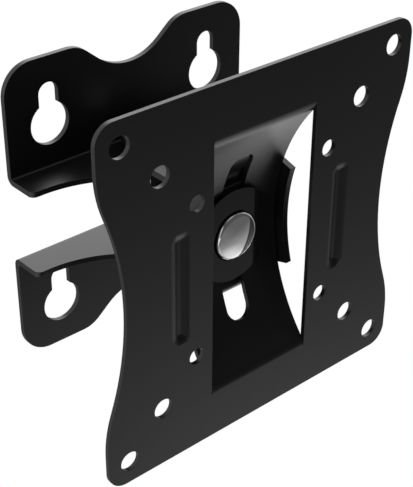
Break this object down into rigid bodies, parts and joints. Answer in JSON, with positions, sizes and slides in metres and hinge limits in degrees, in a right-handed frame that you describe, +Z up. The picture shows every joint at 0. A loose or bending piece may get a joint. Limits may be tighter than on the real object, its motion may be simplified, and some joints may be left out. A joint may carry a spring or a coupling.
{
  "type": "tilt and swivel screen wall mount",
  "caption": "Small steel wall mount for a flat screen: a square plate with standard hole patterns tilts on a curved strip and swivels on an arm pinned to a keyhole wall bracket.",
  "frame": {"origin": "on the wall, at the middle of the wall bracket's height and width", "axes": "+X to the right seen from the room, +Y into the wall, +Z up; the screen plate faces -Y"},
  "size_m": [0.115, 0.0616, 0.115],
  "materials": {
    "plate_coat": "semi-gloss black powder coat on steel",
    "arm_coat": "semi-gloss black powder coat on steel",
    "bracket_coat": "semi-gloss black powder coat on steel",
    "disc_black": "glossy black moulded nylon",
    "nylon_black": "matt black nylon",
    "nylon_white": "natural nylon",
    "liner_fibre": "dull friction sheet",
    "bright_nickel": "bright nickel plate",
    "zinc_steel": "zinc plated steel"
  },
  "bodies": {
    "bracket": {"wall_bracket": "bracket_coat", "pivot_sleeve": "zinc_steel", "upper_swivel_spacer": "nylon_black", "lower_swivel_spacer": "nylon_black", "upper_swivel_washer": "zinc_steel", "lower_swivel_washer": "zinc_steel", "swivel_bolt": "zinc_steel", "swivel_lock_nut": "zinc_steel", "swivel_nut_insert": "nylon_white"},
    "arm": {"swivel_arm": "arm_coat", "friction_liner": "liner_fibre", "pressure_disc": "disc_black", "tilt_bolt": "bright_nickel", "tilt_flat_washer": "zinc_steel", "tilt_spring_washer": "zinc_steel", "tilt_nut": "zinc_steel"},
    "plate": {"screen_plate": "plate_coat"}
  },
  "joints": [
    {"name": "swivel", "type": "hinge", "parent": "bracket", "child": "arm", "pos_m": [0, -0.0176, 0], "axis": [0, 0, 1], "range_deg": [-40, 40]},
    {"name": "tilt", "type": "hinge", "parent": "arm", "child": "plate", "pos_m": [0, -0.1074, 0], "axis": [1, 0, 0], "range_deg": [-15, 15]}
  ]
}
